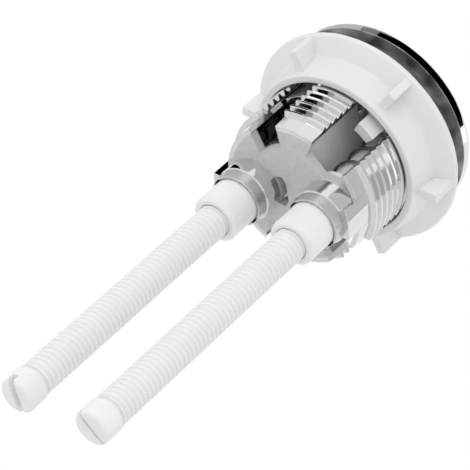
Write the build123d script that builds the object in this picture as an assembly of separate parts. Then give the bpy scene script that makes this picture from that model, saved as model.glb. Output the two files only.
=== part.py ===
# Dual flush push button for a cistern lid.
# Millimetres. +Z is up along the button's axis, with the origin on that axis at the underside of the bezel,
# which is the plane that rests on the lid. Two push rods hang down on the X axis, the half flush one at +X.
# The housing is the same on both sides of the XZ plane, but for the grooves in its tubes.
import os
from math import cos, radians
from build123d import *

# Bezel and threaded barrel
bezel_radius = 24.0
bezel_height = 3.2
bezel_crown = 1.6          # rounding of the bezel's upper rim
barrel_bore = 16.4
barrel_length = 31.6
thread_radius = 19.0
thread_depth = 1.1
thread_pitch = 2.1
thread_crest = 0.55        # flat on top of each ridge
thread_foot = 1.45         # width of each ridge at its root
thread_top = 4.1           # first ridge below the bezel
lead_in = 3.6              # plain taper at the barrel's lower end
lead_in_taper = 0.4

# Arms and windows of the barrel, as angles round the axis that start at +X
half_arm = 32.0            # half the angle of the arm beside the half flush tube
half_window = 33.0         # angle of the window next to it
narrow_arm = 32.0
full_window = 27.0
window_top = 6.0           # depth of a window's upper edge below the bezel

# Floor across the lower end, and the wall that parts the two chambers
floor_thickness = 2.2
floor_neck = (5.0, 11.4)   # corner beside the half flush window, from the axis along X and Y
floor_meets_half_tube = (195.0, 261.0)   # the floor joins that tube between these angles
floor_meets_full_tube = 33.0             # and the full flush tube from this angle on
slot_corner = (-2.6, 3.9)  # the floor is open between the full flush tube and these points
slot_side = (-1.6, 2.4)
notch_floor = 11.7         # radius that the floor's notch under a full flush window reaches in to
notch_spread = 7.0         # angle that the notch is wider by at its inner end
divider_thickness = 2.2

# Guide tubes
rod_offset = 10.2          # each rod's distance from the axis
tube_radius = 6.7
tube_wall = 0.9
tube_end = 36.4            # depth of the rings that the tubes end in
tube_top = 28.0            # depth of the spring seat
tube_lip = 2.0             # thickness of the spring seat
tube_edge = 0.3
tube_groove_angle = 40.0   # two grooves run down inside each tube, at this angle and opposite
tube_groove_width = 1.3
tube_groove_depth = 0.45
tongue_angle = 24.0        # angle of the arm's tongue that runs down the outside of each tube

# Running clearances
slide_clearance = 0.2      # plunger in its tube, button in the bezel
thread_clearance = 0.1     # rod in its plunger
nut_clearance = 0.25       # nut on the barrel
stop_gap = 0.2             # at the rest stops

# Lock nut
nut_flange_radius = 26.4
nut_rim_thickness = 1.3    # the flange thickens from its rim to the hub
nut_rim_rounding = 0.6
nut_seat = 5.85            # depth of the flange's upper face below the bezel
nut_height = 10.1
nut_hub_foot = 22.2        # hub radius where it meets the flange
nut_hub_start = 3.5        # depth of that meeting below the flange's upper face
nut_hub_rim = 20.9         # hub radius at the lower rim
nut_hub_rounding = 0.4
nut_hollow = 0.5           # rounding between hub and flange
rib_count = 6
rib_turn = 10.5
rib_thickness = 2.0
rib_radius = 26.0
rib_height = 8.55          # from the flange's upper face to a rib's lower edge

# Buttons
button_top = 2.9           # height of the caps above the bezel's underside
cap_thickness = 2.0
skirt_wall = 1.2
skirt_depth = 3.5          # depth of the skirt's lower edge below the bezel's underside
cap_edge = 0.6
cap_corner = 1.2
split_radius = 24.0        # curve that parts the two caps
split_offset = 3.5         # where that curve crosses the X axis
split_gap = 0.5
boss_radius = 5.85
boss_depth = 9.0           # depth of the boss that presses on the spring
button_travel = 6.0        # a pressed cap stops on the wall between the chambers
leg_angle = 15.5           # angle that a snap leg takes up
half_leg = 45.0            # angle from +X to the middle of a leg, in each cap's own windows
full_leg = 113.0
leg_wall = 1.5
leg_end = 18.7             # depth of a leg's lower end
hook_reach = 1.1           # a leg's hook stands out this far into its window

# Plungers
stem_radius = 4.7
stem_top = 2.0             # depth of the stem's upper end
collar_end = 47.1          # depth of the collar's lower end
collar_chamfer = 0.7
socket_end = 9.0           # depth that the rod's socket reaches up to

# Springs
spring_wire = 0.7
spring_radius = 5.45       # to the middle of the wire
spring_turns = 3

# Push rods
rod_radius = 3.9
rod_engagement = 14.0      # length of rod inside the collar
full_rod_tip = 114.8
half_rod_tip = 115.8
tip_rounding = 0.8
slot_width = 1.0
slot_depth = 1.8
full_slot_turn = 80.0
half_slot_turn = 50.0

# Sizes that follow from the ones above
cut_margin = 1.0           # a cut runs this far past the face that it opens
narrow_arm_start = half_arm + half_window
full_window_start = narrow_arm_start + narrow_arm
divider_offset = barrel_bore * cos(radians(narrow_arm_start + narrow_arm / 2))
thread_root = thread_radius - thread_depth
barrel_end_radius = thread_root - lead_in_taper
tube_bore = tube_radius - tube_wall
plunger_radius = tube_bore - slide_clearance
lip_bore = stem_radius + slide_clearance
divider_top = skirt_depth + button_travel + stop_gap
button_radius = barrel_bore - slide_clearance
nut_bore = thread_radius + nut_clearance
socket_radius = rod_radius + thread_clearance


def turned(*profile):
    """Revolve a closed outline, given as radius and height, round the Z axis."""
    outline = make_face(Polyline(*profile, close=True))
    return revolve(Plane.XZ * outline, Axis.Z)


def disc(radius, low, high, x=0.0):
    return Pos(x, 0, low) * extrude(Circle(radius), high - low)


def ring_sector(start, angle, inner, outer, low, high, spread=0.0):
    """Part of a ring about the Z axis, from a start on by an angle, and by more at its inside if spread."""
    outside = CenterArc((0, 0), outer, start, angle)
    inside = CenterArc((0, 0), inner, start, angle + spread)
    sides = Line(inside @ 0, outside @ 0), Line(inside @ 1, outside @ 1)
    outline = make_face([outside, inside, *sides])
    return Pos(0, 0, low) * extrude(outline, high - low)


def barrel_wall():
    """Bezel and threaded wall as one turned shape, with its outline read from the top down."""
    outline = [(barrel_bore, bezel_height), (bezel_radius, bezel_height), (bezel_radius, 0), (thread_root, 0)]
    ridge = -thread_top
    while ridge - thread_foot / 2 > lead_in - barrel_length:
        outline += [
            (thread_root, ridge + thread_foot / 2),
            (thread_radius, ridge + thread_crest / 2),
            (thread_radius, ridge - thread_crest / 2),
            (thread_root, ridge - thread_foot / 2),
        ]
        ridge -= thread_pitch
    outline += [(thread_root, lead_in - barrel_length), (barrel_end_radius, -barrel_length)]
    outline += [(barrel_bore, -barrel_length)]
    wall = turned(*outline)
    rims = wall.edges().filter_by(GeomType.CIRCLE)
    top_rim = rims.filter_by(lambda e: e.radius == bezel_radius).sort_by(Axis.Z)[-1]
    return fillet(top_rim, bezel_crown)


def mirrored(shape):
    """The same shape on the other side of the XZ plane."""
    return mirror(shape, about=Plane.XZ)


def windows():
    """Two gaps through the barrel's wall on the +Y side, one each side of the narrow arm."""
    inner, outer = barrel_bore - cut_margin, thread_radius + cut_margin
    low = -barrel_length - cut_margin
    return [
        ring_sector(half_arm, half_window, inner, outer, low, -window_top),
        ring_sector(full_window_start, full_window, inner, outer, low, -window_top)]


def half_floor():
    """Floor on the +Y side: from the half flush window round past the narrow arm and the full flush tube."""
    middle_of_wall = (barrel_bore + barrel_end_radius) / 2
    rim = CenterArc((0, 0), middle_of_wall, narrow_arm_start, 180 - narrow_arm_start)
    in_wall = Vector(tube_radius - tube_wall / 2)
    on_full_tube = Vector(-rod_offset) + in_wall.rotate(Axis.Z, floor_meets_full_tube)
    on_half_tube = [Vector(rod_offset) + in_wall.rotate(Axis.Z, -angle) for angle in floor_meets_half_tube]
    inside = Polyline(
        rim @ 1, (-rod_offset, 0), on_full_tube, slot_corner, slot_side, (slot_side[0], 0),
        (rod_offset - tube_bore, 0), *on_half_tube, floor_neck, rim @ 0)
    plate = Pos(0, 0, -barrel_length) * extrude(make_face([rim, inside]), floor_thickness)
    return plate - ring_sector(
        full_window_start, full_window, notch_floor, middle_of_wall + cut_margin,
        -barrel_length - cut_margin, -barrel_length + floor_thickness + cut_margin, notch_spread)


def divider():
    """Upright wall between the two chambers, from narrow arm to narrow arm."""
    wall = Rectangle(divider_thickness, 2 * barrel_bore)
    height = barrel_length - floor_thickness / 2 - divider_top
    return Pos(divider_offset, 0, -divider_top - height) * extrude(wall, height)


def guide_tube(side):
    """Guide tube with the arm's tongue on its outside; its bore is cut later."""
    tube = disc(tube_radius, -tube_end, -tube_top, side * rod_offset)
    tube = chamfer(tube.edges().sort_by(Axis.Z)[0], tube_edge)
    outward = 0 if side > 0 else 180
    start = outward - tongue_angle / 2
    return tube + ring_sector(start, tongue_angle, rod_offset + tube_bore, thread_root, -tube_end, -tube_top)


def tube_core(side):
    """Space inside a guide tube: wide for the collar, narrow through the seat, wide for the spring."""
    x = side * rod_offset
    wide = disc(tube_bore, -tube_end - cut_margin, -tube_top - tube_lip, x)
    grooves = Rot(0, 0, tube_groove_angle) * Rectangle(2 * (tube_bore + tube_groove_depth), tube_groove_width)
    wide += Pos(x, 0, -tube_end - cut_margin) * extrude(grooves, tube_end + cut_margin - tube_top - tube_lip)
    wide += disc(tube_bore, -tube_top, -boss_depth, x)
    return wide + disc(lip_bore, -tube_end - cut_margin, -tube_top + cut_margin, x)


def housing():
    shape = barrel_wall()
    for gap in windows():
        shape -= gap
        shape -= mirrored(gap)
    floor = half_floor()
    shape = shape + divider() + floor + mirrored(floor)
    for side in (-1, 1):
        shape += guide_tube(side)
        shape -= tube_core(side)
    return shape


def lock_nut():
    """Ribbed nut: a flange that thickens inwards, a tapered hub below it and ribs between the two."""
    rim_low = -nut_seat - nut_rim_thickness
    bottom = -nut_seat - nut_height
    shape = turned(
        (nut_bore, -nut_seat), (nut_flange_radius, -nut_seat), (nut_flange_radius, rim_low),
        (nut_hub_foot, -nut_seat - nut_hub_start), (nut_hub_rim, bottom), (nut_bore, bottom))
    for radius, rounding in (
        (nut_flange_radius, nut_rim_rounding), (nut_hub_foot, nut_hollow), (nut_hub_rim, nut_hub_rounding),
    ):
        circles = shape.edges().filter_by(GeomType.CIRCLE)
        shape = fillet(circles.filter_by(lambda e: abs(e.radius - radius) < 1e-6), rounding)
    inner = (nut_bore + nut_hub_rim) / 2
    rib_top = -nut_seat - nut_rim_thickness / 2
    rib_low = -nut_seat - rib_height
    profile = make_face(Polyline(
        (inner, rib_top), (rib_radius, rib_top), (rib_radius, rib_low), (inner, rib_low), close=True))
    rib = extrude(Plane.XZ * profile, rib_thickness / 2, both=True)
    for number in range(rib_count):
        shape += Rot(0, 0, rib_turn + number * 360 / rib_count) * rib
    return shape


def cap_outline(side):
    """Plan of a cap: a round disc parted by a curve, with its corners rounded."""
    whole = Circle(button_radius)
    split = Pos(split_offset - split_radius, 0) * Circle(split_radius + side * split_gap / 2)
    plan = whole & split if side < 0 else whole - split
    return fillet(plan.vertices(), cap_corner)


def button(side):
    """Chrome cap with its skirt, a boss that holds the plunger, and two snap legs that hook in the windows."""
    plan = cap_outline(side)
    cap = Pos(0, 0, -skirt_depth) * extrude(plan, button_top + skirt_depth)
    cap = fillet(cap.faces().sort_by(Axis.Z)[-1].edges(), cap_edge)
    hollow = offset(plan, amount=-skirt_wall)
    hollow_height = button_top - cap_thickness + skirt_depth + cut_margin
    cap -= Pos(0, 0, -skirt_depth - cut_margin) * extrude(hollow, hollow_height)
    x = side * rod_offset
    cap += disc(boss_radius, -boss_depth, button_top - cap_thickness / 2, x)
    cap -= disc(stem_radius, -boss_depth - cut_margin, -stem_top, x)
    start = (half_leg if side > 0 else full_leg) - leg_angle / 2
    inner = button_radius - leg_wall
    leg = ring_sector(start, leg_angle, inner, button_radius, -leg_end, button_top - cap_thickness / 2)
    hook_top = -window_top - stop_gap
    leg += ring_sector(start, leg_angle, inner, button_radius + hook_reach, -leg_end, hook_top)
    return cap + leg + mirrored(leg)


def plunger(side):
    """White plunger: a stem up into the button and a collar that slides in the guide tube."""
    x = side * rod_offset
    shoulder = -tube_top - tube_lip - stop_gap
    collar = disc(plunger_radius, -collar_end, shoulder, x)
    collar = chamfer(collar.edges().sort_by(Axis.Z)[0], collar_chamfer)
    shape = collar + disc(stem_radius, shoulder, -stem_top, x)
    return shape - disc(socket_radius, -collar_end - cut_margin, -socket_end, x)


def spring(side):
    """Return spring between the tube's seat and the button's boss."""
    low = -tube_top + spring_wire / 2
    height = tube_top - boss_depth - spring_wire
    path = Pos(side * rod_offset, 0, low) * Helix(height / spring_turns, height, spring_radius)
    section = Plane(path @ 0, z_dir=path % 0) * Circle(spring_wire / 2)
    return sweep(section, path, is_frenet=True)


def rod(side, tip, slot_turn):
    """Push rod: plain shank, rounded tip and a screwdriver slot."""
    x = side * rod_offset
    shank = disc(rod_radius, -tip, rod_engagement - collar_end, x)
    shank = fillet(shank.edges().sort_by(Axis.Z)[0], tip_rounding)
    slot = Box(2 * (rod_radius + cut_margin), slot_width, 2 * slot_depth)
    return shank - Pos(x, 0, -tip) * Rot(0, 0, slot_turn) * slot


def main():
    pieces = {"housing": housing(), "lock_nut": lock_nut()}
    for name, side, tip, slot_turn in (
        ("full_flush", -1, full_rod_tip, full_slot_turn),
        ("half_flush", 1, half_rod_tip, half_slot_turn),
    ):
        pieces[name + "_button"] = button(side)
        pieces[name + "_plunger"] = plunger(side)
        pieces[name + "_spring"] = spring(side)
        pieces[name + "_rod"] = rod(side, tip, slot_turn)
    os.makedirs("parts", exist_ok=True)
    for name, shape in pieces.items():
        export_step(shape, "parts/" + name + ".step")


main()
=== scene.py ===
import math
import bmesh
import bpy
import numpy as np
from mathutils import Matrix, Vector


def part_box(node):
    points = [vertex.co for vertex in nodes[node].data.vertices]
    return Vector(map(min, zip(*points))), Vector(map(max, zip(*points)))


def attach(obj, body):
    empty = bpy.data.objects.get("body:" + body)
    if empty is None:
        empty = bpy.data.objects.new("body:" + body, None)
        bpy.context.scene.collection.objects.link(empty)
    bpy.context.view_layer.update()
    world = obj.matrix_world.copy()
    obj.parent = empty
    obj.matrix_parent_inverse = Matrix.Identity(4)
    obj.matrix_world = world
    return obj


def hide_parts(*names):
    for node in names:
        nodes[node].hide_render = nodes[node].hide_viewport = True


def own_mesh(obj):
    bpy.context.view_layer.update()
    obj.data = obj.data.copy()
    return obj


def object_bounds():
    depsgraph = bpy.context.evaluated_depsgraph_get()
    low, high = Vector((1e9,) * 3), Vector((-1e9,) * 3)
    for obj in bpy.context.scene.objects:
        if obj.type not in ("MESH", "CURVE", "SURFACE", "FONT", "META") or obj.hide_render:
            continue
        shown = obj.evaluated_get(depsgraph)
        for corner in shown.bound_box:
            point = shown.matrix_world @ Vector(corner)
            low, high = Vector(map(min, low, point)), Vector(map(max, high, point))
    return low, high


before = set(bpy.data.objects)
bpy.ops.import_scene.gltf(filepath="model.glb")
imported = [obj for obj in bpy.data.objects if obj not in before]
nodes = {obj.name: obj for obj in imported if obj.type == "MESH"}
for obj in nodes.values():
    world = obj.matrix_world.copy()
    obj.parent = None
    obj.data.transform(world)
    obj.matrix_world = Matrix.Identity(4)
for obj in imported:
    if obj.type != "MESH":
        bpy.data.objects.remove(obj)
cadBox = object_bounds()
mm = 0.001
print("frame loaded,", len(nodes), "nodes")


def boxMm(node):
    # a node's lowest and highest corners in millimetres
    return [np.array(corner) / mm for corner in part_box(node)]


def srgb(hexColour):
    # sRGB to linear: c / 12.92 up to 0.04045, above it ((c + 0.055) / 1.055) to the power 2.4
    parts = [int(hexColour[i:i + 2], 16) / 255 for i in (1, 3, 5)]
    return tuple(c / 12.92 if c <= 0.04045 else ((c + 0.055) / 1.055) ** 2.4 for c in parts) + (1.0,)


def addNode(tree, kind, settings=None, inputs=None):
    # settings are the node's own properties, inputs hold a value or the socket that feeds it
    node = tree.nodes.new(kind)
    for key, value in (settings or {}).items():
        setattr(node, key, value)
    for key, value in (inputs or {}).items():
        if isinstance(value, bpy.types.NodeSocket):
            tree.links.new(value, node.inputs[key])
        else:
            node.inputs[key].default_value = value
    return node


def newMaterial(name):
    material = bpy.data.materials.new(name)
    material.use_nodes = True
    material.node_tree.nodes.clear()
    return material, material.node_tree


def perMetre(sizeMm):
    # a noise texture shows about one blob per unit, so its scale is one over the blob's size
    return 1.0 / (sizeMm * mm)


# a colour Mix node's sockets share their names, so they go by number
mixShare, mixFirst, mixSecond, mixed = 0, 6, 7, 2
noiseLow, noiseHigh = 0.3, 0.7  # most of a noise texture's values lie between these
bevelSamples = 8

# bright chrome plate on moulded ABS: a mirror that is slightly wavy from the plastic under it, with soft
# moulded edges; in the half flush chamber and on the floor the plate comes out thin and dull, so the eye sees
# a speckled satin grey there, and under the bezel's brim it is misted, with painted shade there: blotches of
# pale and dark grey that stand in for the shadow and dim reflections in the gap above the nut
chromePlate = {
    "name": "chromePlatedAbs", "bright": "#E6E6E7", "thin": "#D9DADB", "roughness": (0.03, 0.08),
    "wave": {"Scale": perMetre(5.0), "Detail": 1.0, "Roughness": 0.4}, "waveHeightMm": 0.012, "edgeMm": 0.14,
    "mist": {"Scale": perMetre(1.6), "Detail": 3.0, "Roughness": 0.55},
    "fleck": {"Scale": perMetre(0.7), "Detail": 2.0, "Roughness": 0.6},
    "dull": "#EEEEED", "dullRoughness": 0.42, "dullMetal": 0.12,
    "speck": "#9A9A99", "speckRange": (0.6, 0.75), "speckStrength": 0.5,
    "recessRadiusMm": 16.35, "recessTopMm": -1.5, "recessEndMm": -31.7, "chamberSideMm": -2.6, "fadeMm": 0.1,
    "floorTone": ("#D4D4D2", "#C2C2C0"), "floorTopMm": -29.2,
    "brimTopMm": 0.1, "brimEndMm": -6.0, "brimRoughness": 0.3,
    # under the brim: a rougher mist, and painted shade in blotches of pale and dark grey
    "brimPaintedShade": ("#DEDEE0", "#87878B"), "brimShadePatches": (0.38, 0.62),
}
capPlate = {**chromePlate, "name": "chromePlatedCapAbs", "recessRadiusMm": 18.0}
nosePlate = {
    **chromePlate, "name": "satinPlatedAbs", "bright": "#CFD0D1", "thin": "#BFC0C2",
    "roughness": (0.24, 0.36),
}


def chromePlatedAbs(values):
    material, tree = newMaterial(values["name"])
    place = addNode(tree, "ShaderNodeTexCoord").outputs["Object"]
    wave = addNode(tree, "ShaderNodeTexNoise", None, {"Vector": place, **values["wave"]}).outputs["Fac"]
    mist = addNode(tree, "ShaderNodeTexNoise", None, {"Vector": place, **values["mist"]}).outputs["Fac"]
    fleck = addNode(tree, "ShaderNodeTexNoise", None, {"Vector": place, **values["fleck"]}).outputs["Fac"]
    along = addNode(tree, "ShaderNodeSeparateXYZ", None, {"Vector": place})
    aside, height = along.outputs["X"], along.outputs["Z"]
    flat = addNode(tree, "ShaderNodeVectorMath", {"operation": "MULTIPLY"}, {0: place, 1: (1, 1, 0)})
    reach = addNode(tree, "ShaderNodeVectorMath", {"operation": "LENGTH"}, {
        0: flat.outputs["Vector"]}).outputs["Value"]
    # the half flush chamber and the floor are nearer to the axis than the barrel's bore, and the brim lies
    # between the bezel's lower edge and the nut; a zone is a product of soft steps, where 1 keeps what is
    # above a limit and -1 what is below it
    zones = []
    for limits in (
        ((reach, "recessRadiusMm", -1), (height, "recessTopMm", -1), (height, "floorTopMm", 1),
         (aside, "chamberSideMm", 1)),
        ((reach, "recessRadiusMm", -1), (height, "floorTopMm", -1), (height, "recessEndMm", 1)),
        ((height, "brimTopMm", -1), (height, "brimEndMm", 1)),
    ):
        zone = 1.0
        for measure, limit, sign in limits:
            fade = sign * values["fadeMm"] * mm
            step = addNode(tree, "ShaderNodeMapRange", None, {
                "Value": measure, "From Min": values[limit] * mm - fade,
                "From Max": values[limit] * mm + fade, "To Min": 0.0, "To Max": zone})
            zone = step.outputs["Result"]
        zones.append(zone)
    chamber, floor, brim = zones
    recess = addNode(tree, "ShaderNodeMath", {"operation": "ADD", "use_clamp": True}, {
        0: chamber, 1: floor}).outputs["Value"]
    bright = addNode(tree, "ShaderNodeMix", {"data_type": "RGBA"}, {
        mixShare: mist, mixFirst: srgb(values["bright"]), mixSecond: srgb(values["thin"])})
    pale, dim = values["floorTone"]
    floorTone = addNode(tree, "ShaderNodeMix", {"data_type": "RGBA"}, {
        mixShare: mist, mixFirst: srgb(pale), mixSecond: srgb(dim)})
    satinTone = addNode(tree, "ShaderNodeMix", {"data_type": "RGBA"}, {
        mixShare: floor, mixFirst: srgb(values["dull"]), mixSecond: floorTone.outputs[mixed]})
    low, high = values["speckRange"]
    specks = addNode(tree, "ShaderNodeMapRange", None, {
        "Value": fleck, "From Min": low, "From Max": high, "To Min": 0.0, "To Max": values["speckStrength"]})
    dull = addNode(tree, "ShaderNodeMix", {"data_type": "RGBA"}, {
        mixShare: specks.outputs["Result"], mixFirst: satinTone.outputs[mixed],
        mixSecond: srgb(values["speck"])})
    colour = addNode(tree, "ShaderNodeMix", {"data_type": "RGBA"}, {
        mixShare: recess, mixFirst: bright.outputs[mixed], mixSecond: dull.outputs[mixed]})
    # painted shade and painted reflection: under the brim the colour turns to blotches of pale and dark grey,
    # standing in for the shadow and dim reflections in the gap above the nut
    low, high = values["brimShadePatches"]
    paintedShadePatches = addNode(tree, "ShaderNodeMapRange", None, {"Value": wave, "From Min": low, "From Max": high})
    pale, dim = values["brimPaintedShade"]
    brimPaintedShade = addNode(tree, "ShaderNodeMix", {"data_type": "RGBA"}, {
        mixShare: paintedShadePatches.outputs["Result"], mixFirst: srgb(pale), mixSecond: srgb(dim)})
    shaded = addNode(tree, "ShaderNodeMix", {"data_type": "RGBA"}, {
        mixShare: brim, mixFirst: colour.outputs[mixed], mixSecond: brimPaintedShade.outputs[mixed]})
    low, high = values["roughness"]
    gloss = addNode(tree, "ShaderNodeMapRange", None, {
        "Value": mist, "From Min": noiseLow, "From Max": noiseHigh, "To Min": low, "To Max": high})
    satin = addNode(tree, "ShaderNodeMapRange", None, {
        "Value": recess, "To Min": gloss.outputs["Result"], "To Max": values["dullRoughness"]})
    misted = addNode(tree, "ShaderNodeMapRange", None, {
        "Value": brim, "To Min": satin.outputs["Result"], "To Max": values["brimRoughness"]})
    metal = addNode(tree, "ShaderNodeMapRange", None, {
        "Value": recess, "To Min": 1.0, "To Max": values["dullMetal"]})
    edge = addNode(tree, "ShaderNodeBevel", {"samples": bevelSamples}, {"Radius": values["edgeMm"] * mm})
    bump = addNode(tree, "ShaderNodeBump", None, {
        "Height": wave, "Strength": 1.0, "Distance": values["waveHeightMm"] * mm,
        "Normal": edge.outputs["Normal"]})
    shader = addNode(tree, "ShaderNodeBsdfPrincipled", None, {
        "Base Color": shaded.outputs[mixed], "Metallic": metal.outputs["Result"],
        "Roughness": misted.outputs["Result"], "Normal": bump.outputs["Normal"]})
    addNode(tree, "ShaderNodeOutputMaterial", None, {"Surface": shader.outputs["BSDF"]})
    return material


# moulded white polypropylene: a soft satin white, slightly waxy, with a fine eroded grain
# from the mould; the real grain is about 0.1 mm and is drawn coarser so that it shows
whitePlastic = {
    "name": "whitePolypropylene", "white": "#F3F3F3", "shade": "#EDEDED", "roughness": (0.36, 0.48),
    "cloud": {"Scale": perMetre(9.0), "Detail": 2.0, "Roughness": 0.5},
    "grain": {"Scale": perMetre(0.45), "Detail": 2.0, "Roughness": 0.6}, "grainHeightMm": 0.006,
    "edgeMm": 0.22, "ior": 1.49, "bleed": 0.35, "bleedMm": 1.5,
}
# painted shade: the nut takes a darker copy of the same white plastic, which holds its faces, lit more by the
# lamps than the rods are, down to a lower level
shadedNutPlastic = {**whitePlastic, "name": "whitePolypropyleneShadedForNut", "white": "#EDEDED", "shade": "#E6E6E6"}


def whitePolypropylene(values):
    material, tree = newMaterial(values["name"])
    place = addNode(tree, "ShaderNodeTexCoord").outputs["Object"]
    cloud = addNode(tree, "ShaderNodeTexNoise", None, {"Vector": place, **values["cloud"]}).outputs["Fac"]
    grain = addNode(tree, "ShaderNodeTexNoise", None, {"Vector": place, **values["grain"]}).outputs["Fac"]
    colour = addNode(tree, "ShaderNodeMix", {"data_type": "RGBA"}, {
        mixShare: cloud, mixFirst: srgb(values["white"]), mixSecond: srgb(values["shade"])})
    low, high = values["roughness"]
    satin = addNode(tree, "ShaderNodeMapRange", None, {
        "Value": cloud, "From Min": noiseLow, "From Max": noiseHigh, "To Min": low, "To Max": high})
    edge = addNode(tree, "ShaderNodeBevel", {"samples": bevelSamples}, {"Radius": values["edgeMm"] * mm})
    bump = addNode(tree, "ShaderNodeBump", None, {
        "Height": grain, "Strength": 1.0, "Distance": values["grainHeightMm"] * mm,
        "Normal": edge.outputs["Normal"]})
    shader = addNode(tree, "ShaderNodeBsdfPrincipled", None, {
        "Base Color": colour.outputs[mixed], "Roughness": satin.outputs["Result"], "IOR": values["ior"],
        "Subsurface Weight": values["bleed"], "Subsurface Radius": (1.0, 1.0, 1.0),
        "Subsurface Scale": values["bleedMm"] * mm, "Normal": bump.outputs["Normal"]})
    addNode(tree, "ShaderNodeOutputMaterial", None, {"Surface": shader.outputs["BSDF"]})
    return material


# drawn spring steel: a grey wire with a fine dark mottle that the drawing die leaves
springWire = {
    "name": "drawnSpringSteel", "steel": "#8A8C8F", "dark": "#5F6164", "roughness": (0.22, 0.4),
    "mottle": {"Scale": perMetre(0.35), "Detail": 2.0, "Roughness": 0.6},
}


def drawnSpringSteel(values):
    material, tree = newMaterial(values["name"])
    place = addNode(tree, "ShaderNodeTexCoord").outputs["Object"]
    mottle = addNode(tree, "ShaderNodeTexNoise", None, {"Vector": place, **values["mottle"]}).outputs["Fac"]
    colour = addNode(tree, "ShaderNodeMix", {"data_type": "RGBA"}, {
        mixShare: mottle, mixFirst: srgb(values["steel"]), mixSecond: srgb(values["dark"])})
    low, high = values["roughness"]
    gloss = addNode(tree, "ShaderNodeMapRange", None, {
        "Value": mottle, "From Min": noiseLow, "From Max": noiseHigh, "To Min": low, "To Max": high})
    shader = addNode(tree, "ShaderNodeBsdfPrincipled", None, {
        "Base Color": colour.outputs[mixed], "Metallic": 1.0, "Roughness": gloss.outputs["Result"]})
    addNode(tree, "ShaderNodeOutputMaterial", None, {"Surface": shader.outputs["BSDF"]})
    return material


chrome = chromePlatedAbs(chromePlate)
capChrome = chromePlatedAbs(capPlate)
noseChrome = chromePlatedAbs(nosePlate)
plastic = whitePolypropylene(whitePlastic)
shadedNutWhite = whitePolypropylene(shadedNutPlastic)
steel = drawnSpringSteel(springWire)
print("materials made")

mergeDistance = 1e-7  # metres


def surfaceObject(name, points, material, sharpAngle):
    # points[row, column] is a closed skin: columns wrap round, and the rows start and end in a pole or come
    # back to the first row
    rows, columns = points.shape[:2]
    i, j = np.meshgrid(np.arange(rows - 1), np.arange(columns), indexing="ij")
    k = (j + 1) % columns
    corners = (i * columns + j, i * columns + k, (i + 1) * columns + k, (i + 1) * columns + j)
    quads = np.stack(corners, axis=-1)
    mesh = bpy.data.meshes.new(name)
    mesh.from_pydata(points.reshape(-1, 3).tolist(), [], quads.reshape(-1, 4).tolist())
    work = bmesh.new()
    work.from_mesh(mesh)
    bmesh.ops.remove_doubles(work, verts=work.verts, dist=mergeDistance)
    bmesh.ops.dissolve_degenerate(work, edges=work.edges, dist=mergeDistance)
    bmesh.ops.recalc_face_normals(work, faces=work.faces)
    work.to_mesh(mesh)
    work.free()
    mesh.shade_smooth()
    mesh.set_sharp_from_angle(angle=math.radians(sharpAngle))
    mesh.materials.append(material)
    piece = bpy.data.objects.new(name, mesh)
    bpy.context.scene.collection.objects.link(piece)
    return piece


rodNodes = ("full_flush_rod", "half_flush_rod")

# millimetres and degrees; the thread ends in a neck, and the plain head below it is a little thicker
# than the thread
pushRod = {
    "slotTurn": {"full_flush_rod": 80.0, "half_flush_rod": 50.0},
    "slotWidth": {"full_flush_rod": 1.5, "half_flush_rod": 0.7},
    "slotDepth": {"full_flush_rod": 2.0, "half_flush_rod": 1.2},
    "pitch": 1.36, "threadDepth": 0.55, "crest": 0.25, "root": 0.75, "runOut": 0.5,
    "neckLength": 0.8, "neckDepth": 0.5, "headLength": 5.2, "headSwell": 0.3, "headEdge": 0.25,
    "tipRounding": 0.9, "rowsPerTurn": 12, "headRows": 8, "slotRows": 6, "roundingRows": 8, "faceRows": 6,
    "flankColumns": 34, "slotColumns": 5, "slotMargin": 1.004, "sharpAngle": 50,
}


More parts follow.
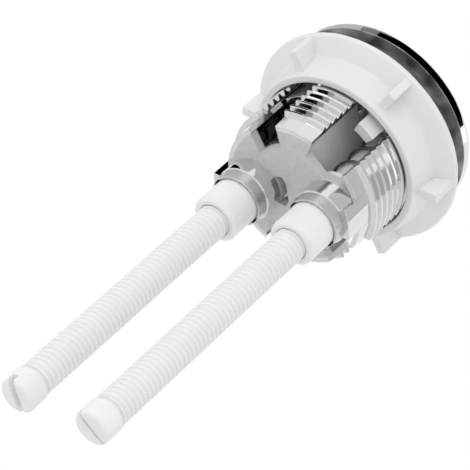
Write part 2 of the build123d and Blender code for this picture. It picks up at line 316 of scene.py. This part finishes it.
def threadedRod(node, values):
    # rows go down the rod: radius R - depth * groove(z / pitch - turn), then neck, head, rounded tip and end
    # face; columns spread so that two of them stay on the slot's edges, at asin(half width / radius)
    low, high = boxMm(node)
    centre, radius = (low + high) / 2, (high[0] - low[0]) / 2
    tip, top = low[2], high[2]
    half = values["slotWidth"][node] / 2
    s = np.linspace(-1, 1, values["slotColumns"])
    t = np.linspace(0, 1, values["flankColumns"])
    alphaPart = np.concatenate((s, 1 - 2 * t, s, 1 - 2 * t))
    piPart = np.concatenate((0 * s, t, 1 + 0 * s, 1 + t))
    inSlot = np.repeat((True, False, True, False), (len(s), len(t), len(s), len(t)))
    curve, edge = values["tipRounding"], values["headEdge"]
    slotFloor, headTop = tip + values["slotDepth"][node], tip + values["headLength"]
    neckTop = headTop + values["neckLength"]
    neck, head = radius - values["neckDepth"], radius + values["headSwell"]
    shank = np.arange(top, neckTop, -values["pitch"] / values["rowsPerTurn"])
    side = np.concatenate((np.linspace(headTop - edge, slotFloor, values["headRows"]),
                           np.linspace(slotFloor, tip + curve, values["slotRows"])[1:]))
    arc = np.linspace(0, np.pi / 2, values["roundingRows"])[1:]
    face = np.linspace(head - curve, half * values["slotMargin"], values["faceRows"])[1:]
    rho = np.concatenate(([0], 0 * shank + radius, [neck, neck, head - edge], 0 * side + head,
                          head - curve + curve * np.cos(arc), face, [half, 0]))
    z = np.concatenate(([top], shank, [neckTop, headTop, headTop], side,
                        tip + curve - curve * np.sin(arc), 0 * face + tip, [tip, tip]))
    alpha = np.arcsin(np.minimum(1, half / np.maximum(rho, half)))
    angle = alpha[:, None] * alphaPart + np.pi * piPart
    fade = (np.clip((z - neckTop) / values["runOut"], 0, 1) * (rho == radius))[:, None]
    turn = np.radians(values["slotTurn"][node]) + angle
    phase = np.mod(z[:, None] / values["pitch"] - turn / (2 * np.pi), 1)
    slope = np.clip((np.abs(2 * phase - 1) - values["crest"]) / (values["root"] - values["crest"]), 0, 1)
    groove = slope * slope * (3 - 2 * slope)
    reach = rho[:, None] - values["threadDepth"] * groove * fade
    height = np.where((inSlot | (rho <= half)[:, None]) & (z < slotFloor)[:, None], slotFloor, z[:, None])
    points = np.stack((centre[0] + reach * np.cos(turn), centre[1] + reach * np.sin(turn), height), axis=-1)
    rod = surfaceObject(node.replace("_rod", "_threaded_rod"), points * mm, plastic, values["sharpAngle"])
    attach(rod, node)
    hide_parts(node)
    return rod


for rodNode in rodNodes:
    rodPiece = threadedRod(rodNode, pushRod)
    print(rodPiece.name, len(rodPiece.data.polygons), "faces")


# millimetres and degrees; travel is how far a cap goes down
returnSpring = {
    "pressedBy": {"full_flush_spring": "full_flush_press", "half_flush_spring": "half_flush_press"},
    "travel": 6.0, "wire": 0.7, "deadTurns": 0.8, "openTurns": 3.0,
    "stepsPerTurn": 48, "round": 14, "sharpAngle": 50,
}


def coiledSpring(node, values):
    # a circle of the wire's size carried along a helix that climbs one wire a turn at its closed ends
    # and evenly between them
    low, high = boxMm(node)
    centre, wire = (low + high) / 2, values["wire"]
    coil = (high[0] - low[0]) / 2 - wire / 2
    turns = 2 * values["deadTurns"] + values["openTurns"]
    u = np.linspace(0, turns, int(turns * values["stepsPerTurn"]) + 1)
    closed = wire * values["deadTurns"]
    rise = high[2] - low[2] - wire
    z = np.interp(u, (0, values["deadTurns"], turns - values["deadTurns"], turns),
                  (0, closed, rise - closed, rise)) + low[2] + wire / 2
    angle = 2 * np.pi * u
    zero = np.zeros_like(u)
    outward = np.stack((np.cos(angle), np.sin(angle), zero), axis=-1)
    line = outward * coil + np.stack((zero + centre[0], zero + centre[1], z), axis=-1)
    along = np.gradient(line, axis=0)
    along /= np.linalg.norm(along, axis=1, keepdims=True)
    across = np.cross(along, outward)
    ring = np.linspace(0, 2 * np.pi, values["round"], endpoint=False)[None, :, None]
    size = np.concatenate(([0], np.full(len(u), wire / 2), [0]))[:, None, None]
    take = np.concatenate(([0], np.arange(len(u)), [len(u) - 1]))
    circle = np.cos(ring) * outward[take][:, None] + np.sin(ring) * across[take][:, None]
    points = line[take][:, None] + size * circle
    points[..., 2] = np.clip(points[..., 2], low[2], high[2])
    spring = surfaceObject(node + "_coil", points * mm, steel, values["sharpAngle"])
    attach(spring, "housing")
    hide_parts(node)
    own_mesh(spring)
    return spring


for springNode, springJoint in returnSpring["pressedBy"].items():
    springPiece = coiledSpring(springNode, returnSpring)
    print(springPiece.name, len(springPiece.data.polygons), "faces")


# millimetres and degrees; each guide tube ends in a tapered nose round the white collar, with two notches
# where the tube's grooves come out
tubeNose = {
    "gap": 0.01, "topRadius": 6.45, "footRadius": 6.25, "bore": 5.8, "length": 2.7, "rounding": 0.1,
    "notchTurn": 40.0, "notchWidth": 2.4, "notchDepth": 0.32, "notchSquareness": 6,
    "flankRows": 8, "roundingRows": 6, "columns": 144, "sharpAngle": 40,
}


def guideNose(rodNode, values):
    # a closed outline of radius and height carried round the tube's axis; inside, the radius grows by
    # depth * exp(-(arc / half width) ** squareness) at each notch, a flat-bottomed dip with soft corners
    low, high = boxMm(rodNode)
    centre = (low + high) / 2
    tubeEnd = boxMm("housing")[0][2]
    top = tubeEnd - values["gap"]
    foot, curve = top - values["length"], values["rounding"]
    bend = np.linspace(0, np.pi / 2, values["roundingRows"])
    middle = (values["footRadius"] - curve, foot + curve)
    flank = np.linspace(0, 1, values["flankRows"])[:-1]
    outer = np.stack((values["topRadius"] + flank * (values["footRadius"] - values["topRadius"]),
                      top + flank * (middle[1] - top)), axis=-1)
    edge = np.stack((middle[0] + curve * np.cos(bend), middle[1] - curve * np.sin(bend)), axis=-1)
    wall = np.linspace(foot, top, values["flankRows"])
    inner = np.stack((0 * wall + values["bore"], wall), axis=-1)
    outline = np.concatenate((outer, edge, inner, outer[:1]))
    turn = np.linspace(0, 2 * np.pi, values["columns"], endpoint=False)
    aside = np.mod(turn - np.radians(values["notchTurn"]) + np.pi / 2, np.pi) - np.pi / 2
    spread = aside * values["bore"] / (values["notchWidth"] / 2)
    dip = values["notchDepth"] * np.exp(-spread ** values["notchSquareness"])
    inside = (outline[:, 0] <= values["bore"])[:, None]
    reach = outline[:, :1] + dip * inside
    height = outline[:, 1:] + 0 * turn
    points = np.stack((centre[0] + reach * np.cos(turn), centre[1] + reach * np.sin(turn), height), axis=-1)
    nose = surfaceObject(rodNode.replace("_rod", "_tube_nose"), points * mm, noseChrome, values["sharpAngle"])
    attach(nose, "housing")
    return nose


for rodNode in rodNodes:
    nosePiece = guideNose(rodNode, tubeNose)
    print(nosePiece.name, len(nosePiece.data.polygons), "faces")


# the moulded pieces keep their CAD shape and take these finishes
mouldedFinish = {
    "housing": chrome, "full_flush_button": capChrome, "half_flush_button": capChrome,
    "lock_nut": shadedNutWhite, "full_flush_plunger": plastic, "half_flush_plunger": plastic,
}
for mouldedNode, finish in mouldedFinish.items():
    for materialSlot in nodes[mouldedNode].material_slots:
        materialSlot.material = finish
print("moulded pieces finished")


# metres, apart from the values named Mm; azimuths are degrees, and levels are shares of white
studio = {
    "floor": "#F4F4F4", "floorRoughness": (0.6, 0.7), "floorMottle": {"Scale": perMetre(60.0), "Detail": 2.0},
    "floorGapMm": 60.0, "floorRadius": 4.0, "floorSides": 96, "ambient": 0.82, "lampAim": (0, 0, -0.02),
    "lamps": {
        "frontLamp": {"toward": (0.12, -0.95, -0.15), "distance": 0.9, "size": 0.7, "watts": 1.7},
        "topLamp": {"toward": (-0.45, -0.35, 0.82), "distance": 0.9, "size": 0.6, "watts": 0.7},
        "sideLamp": {"toward": (0.8, 0.3, 0.52), "distance": 1.0, "size": 0.6, "watts": 0.5},
    },
    "cards": {
        "bezelCard": {"azimuth": (256, 372), "heightMm": (25.5, 140), "radiusMm": 60, "level": 0.0},
        "dimCard": {"azimuth": (238, 256), "heightMm": (25.5, 140), "radiusMm": 60, "level": 0.25},
        "greyCard": {"azimuth": (180, 238), "heightMm": (25.5, 140), "radiusMm": 60, "level": 0.6},
        "grooveCard": {"azimuth": (176, 245), "heightMm": (23, 52), "radiusMm": 100, "level": 0.0},
        "fadeCard": {"azimuth": (245, 253), "heightMm": (23, 52), "radiusMm": 100, "level": 0.45},
        "armCard": {"azimuth": (285, 395), "heightMm": (5, 52), "radiusMm": 100, "level": 0.62},
    },
    "cardColumns": 31,
}


def paleFloor(values):
    # a disc under the rods' tips; it is clear from below, and it never keeps a lamp's light off the part
    turn = np.linspace(0, 2 * np.pi, values["floorSides"], endpoint=False)
    edge = np.stack((np.cos(turn), np.sin(turn), 0 * turn), axis=-1) * values["floorRadius"]
    edge[:, 2] = cadBox[0][2] - values["floorGapMm"] * mm
    mesh = bpy.data.meshes.new("paleFloor")
    mesh.from_pydata(edge.tolist(), [], [list(range(len(turn)))])
    material, tree = newMaterial("paleFloor")
    place = addNode(tree, "ShaderNodeTexCoord").outputs["Object"]
    mottle = addNode(tree, "ShaderNodeTexNoise", None, {"Vector": place, **values["floorMottle"]})
    smooth, rough = values["floorRoughness"]
    gloss = addNode(tree, "ShaderNodeMapRange", None, {
        "Value": mottle.outputs["Fac"], "To Min": smooth, "To Max": rough})
    top = addNode(tree, "ShaderNodeBsdfPrincipled", None, {
        "Base Color": srgb(values["floor"]), "Roughness": gloss.outputs["Result"]})
    clear = addNode(tree, "ShaderNodeBsdfTransparent")
    facing = addNode(tree, "ShaderNodeNewGeometry")
    path = addNode(tree, "ShaderNodeLightPath")
    through = addNode(tree, "ShaderNodeMath", {"operation": "MAXIMUM"}, {
        0: facing.outputs["Backfacing"], 1: path.outputs["Is Shadow Ray"]})
    both = addNode(tree, "ShaderNodeMixShader", None, {
        0: through.outputs["Value"], 1: top.outputs["BSDF"], 2: clear.outputs["BSDF"]})
    addNode(tree, "ShaderNodeOutputMaterial", None, {"Surface": both.outputs["Shader"]})
    mesh.materials.append(material)
    floor = bpy.data.objects.new("paleFloor", mesh)
    bpy.context.scene.collection.objects.link(floor)


def whiteWorld(values):
    # white where the camera and mirror surfaces see it, a softer even light elsewhere
    world = bpy.data.worlds.new("studioWorld")
    world.use_nodes = True
    tree = world.node_tree
    tree.nodes.clear()
    path = addNode(tree, "ShaderNodeLightPath")
    seen = addNode(tree, "ShaderNodeMath", {"operation": "MAXIMUM"}, {
        0: path.outputs["Is Camera Ray"], 1: path.outputs["Is Glossy Ray"]})
    seen = addNode(tree, "ShaderNodeMath", {"operation": "MAXIMUM"}, {
        0: seen.outputs["Value"], 1: path.outputs["Is Transmission Ray"]})
    level = addNode(tree, "ShaderNodeMapRange", None, {
        "Value": seen.outputs["Value"], "To Min": values["ambient"], "To Max": 1.0})
    white = addNode(tree, "ShaderNodeBackground", None, {
        "Strength": level.outputs["Result"], "Color": (1, 1, 1, 1)})
    addNode(tree, "ShaderNodeOutputWorld", None, {"Surface": white.outputs["Background"]})
    bpy.context.scene.world = world


def studioLamps(values):
    for name, lamp in values["lamps"].items():
        light = bpy.data.lights.new(name, "AREA")
        light.energy, light.size = lamp["watts"], lamp["size"]
        toward = Vector(lamp["toward"]).normalized()
        stand = bpy.data.objects.new(name, light)
        stand.location = Vector(values["lampAim"]) + toward * lamp["distance"]
        stand.rotation_euler = toward.to_track_quat("Z", "Y").to_euler()
        bpy.context.scene.collection.objects.link(stand)


def darkCards(values):
    # grey and black screens that only reflections see, for the dark bands in the chrome: each is
    # radius * (cos a, sin a) at height z, with a and z across the card's two ranges, and its level is
    # a share of the white round it
    columns = values["cardColumns"]
    j = np.arange(columns - 1)
    quads = np.stack((j, j + 1, columns + j + 1, columns + j), axis=-1)
    for name, card in values["cards"].items():
        material, tree = newMaterial(name)
        shader = addNode(tree, "ShaderNodeEmission", None, {"Strength": card["level"]})
        addNode(tree, "ShaderNodeOutputMaterial", None, {"Surface": shader.outputs["Emission"]})
        a, z = np.meshgrid(np.radians(np.linspace(*card["azimuth"], columns)), np.array(card["heightMm"]))
        points = np.stack((card["radiusMm"] * np.cos(a), card["radiusMm"] * np.sin(a), z), axis=-1) * mm
        mesh = bpy.data.meshes.new(name)
        mesh.from_pydata(points.reshape(-1, 3).tolist(), [], quads.tolist())
        mesh.materials.append(material)
        board = bpy.data.objects.new(name, mesh)
        board.visible_camera = board.visible_diffuse = False
        board.visible_shadow = board.visible_transmission = False
        bpy.context.scene.collection.objects.link(board)


paleFloor(studio)
whiteWorld(studio)
studioLamps(studio)
darkCards(studio)
bpy.context.scene.view_settings.view_transform = "Standard"
print("studio set")


# the photograph looks up at the button from below, turned so that the rods run down to the left; the angles
# are degrees, and the clip distances metres
photoCamera = {
    "aimMm": (-16.870, 14.678, -33.659), "distanceMm": 615.0, "heading": 133.83, "rise": 37.88,
    "roll": 47.895, "lensMm": 210.2, "sensorMm": 36.0, "clip": (0.01, 20.0),
}


def placeCamera(values):
    heading, rise, roll = (math.radians(values[key]) for key in ("heading", "rise", "roll"))
    forward = Vector((math.cos(rise) * math.cos(heading), math.cos(rise) * math.sin(heading), math.sin(rise)))
    level = forward.cross(Vector((0, 0, 1))).normalized()
    above = level.cross(forward)
    right = level * math.cos(roll) + above * math.sin(roll)
    up = above * math.cos(roll) - level * math.sin(roll)
    data = bpy.data.cameras.new("photoCamera")
    data.lens, data.sensor_width, data.sensor_fit = values["lensMm"], values["sensorMm"], "HORIZONTAL"
    data.clip_start, data.clip_end = values["clip"]
    camera = bpy.data.objects.new("photoCamera", data)
    turn = Matrix((right, up, -forward)).transposed().to_4x4()
    place = Vector(values["aimMm"]) * mm - forward * values["distanceMm"] * mm
    camera.matrix_world = Matrix.Translation(place) @ turn
    bpy.context.scene.collection.objects.link(camera)
    bpy.context.scene.camera = camera


placeCamera(photoCamera)
print("camera placed")
